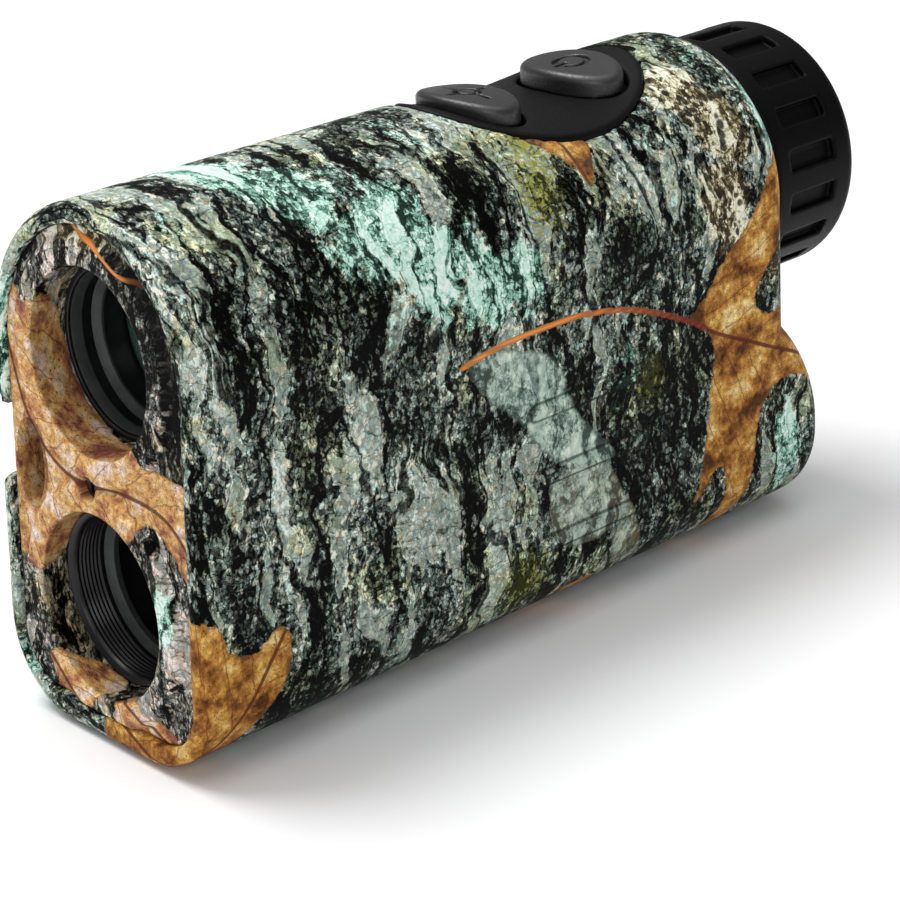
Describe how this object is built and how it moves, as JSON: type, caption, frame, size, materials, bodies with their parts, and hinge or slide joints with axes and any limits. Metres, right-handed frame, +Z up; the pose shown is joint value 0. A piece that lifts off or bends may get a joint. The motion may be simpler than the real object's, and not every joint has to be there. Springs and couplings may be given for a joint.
{
  "type": "laser rangefinder",
  "caption": "Tall handheld monocular rangefinder with a viewing lens over a laser window, a top keypad, a turning eyepiece and a screw battery cap.",
  "frame": {"origin": "bottom centre of the whole object's box, on the surface it stands on", "axes": "+Z up, +Y from the front lenses towards the eyepiece, +X to the right of a person looking through the eyepiece"},
  "size_m": [0.0382, 0.1134, 0.0633],
  "materials": {
    "camo_housing": "film-printed bark and leaf pattern, satin lacquer",
    "camo_front": "film-printed leaf and bark pattern, satin lacquer",
    "black_rubber": "fine matt moulded",
    "grip_rubber": "satin moulded",
    "black_anodised": "matt black anodised",
    "satin_ring": "dark satin anodised",
    "coated_lens": "green multi-coated",
    "clear_glass": "polished",
    "black_plastic": "moulded, fine spark texture",
    "circuit_board": "green solder mask",
    "polyimide": "amber film",
    "steel": "zinc plated",
    "gold_brass": "plated",
    "cell_jacket": "plain printed sleeve"
  },
  "bodies": {
    "housing": {"main_housing": "camo_housing", "front_bezel": "camo_front", "keypad": "black_rubber", "eyepiece_gasket": "black_rubber", "objective_cell": "black_anodised", "emitter_barrel": "black_anodised", "eyepiece_tube": "black_anodised", "bezel_screw": "black_anodised", "objective_retainer": "satin_ring", "objective_inner_ring": "satin_ring", "emitter_retainer": "satin_ring", "objective_lens": "coated_lens", "emitter_lens": "coated_lens", "prism_block": "clear_glass", "display_glass": "clear_glass", "lanyard_anchor": "black_plastic", "diode_holder": "black_plastic", "optical_chassis": "black_plastic", "prism_carrier": "black_plastic", "display_frame": "black_plastic", "processor_chip": "black_plastic", "battery_tube": "black_plastic", "main_pcb": "circuit_board", "key_pcb": "circuit_board", "flex_cable": "polyimide", "chassis_screw_1": "steel", "chassis_screw_2": "steel", "chassis_screw_3": "steel", "chassis_screw_4": "steel", "mode_switch": "steel", "power_switch": "steel", "laser_diode": "gold_brass", "receiver_sensor": "gold_brass", "positive_contact": "gold_brass", "pulse_capacitor": "cell_jacket"},
    "mode_key": {"mode_button": "black_rubber"},
    "power_key": {"power_button": "black_rubber"},
    "eyepiece_ring": {"diopter_ring": "grip_rubber", "eyecup": "black_rubber"},
    "eye_optics": {"lens_carrier": "black_anodised", "field_lens": "clear_glass", "eye_lens": "coated_lens"},
    "cap_carriage": {"cap_seal": "black_rubber", "contact_spring": "gold_brass"},
    "cap": {"battery_cap": "black_plastic"},
    "cell": {"battery": "cell_jacket"}
  },
  "joints": [
    {"name": "mode_press", "type": "slide", "parent": "housing", "child": "mode_key", "axis": [0, 0, -1], "range_m": [0, 0.0008], "stiffness_N_per_m": 1500},
    {"name": "power_press", "type": "slide", "parent": "housing", "child": "power_key", "axis": [0, 0, -1], "range_m": [0, 0.0008], "stiffness_N_per_m": 1500},
    {"name": "diopter_turn", "type": "hinge", "parent": "housing", "child": "eyepiece_ring", "pos_m": [0, 0.04844, 0.0446], "axis": [0, 1, 0], "range_deg": [-150, 150]},
    {"name": "diopter_focus", "type": "slide", "parent": "housing", "child": "eye_optics", "axis": [0, 1, 0], "range_m": [-0.0015, 0.0015]},
    {"name": "cap_pull", "type": "slide", "parent": "housing", "child": "cap_carriage", "axis": [0, 1, 0], "range_m": [0, 0.036]},
    {"name": "cap_turn", "type": "hinge", "parent": "cap_carriage", "child": "cap", "pos_m": [0, 0.04544, 0.0132], "axis": [0, 1, 0], "range_deg": [0, 90]},
    {"name": "cell_slide", "type": "slide", "parent": "housing", "child": "cell", "axis": [0, 1, 0], "range_m": [0, 0.0325]}
  ],
  "couplings": [
    {"joint": "diopter_focus", "follows": "diopter_turn", "m_per_rad": 0.00057},
    {"joint": "cell_slide", "follows": "cap_pull", "ratio": 0.9}
  ]
}
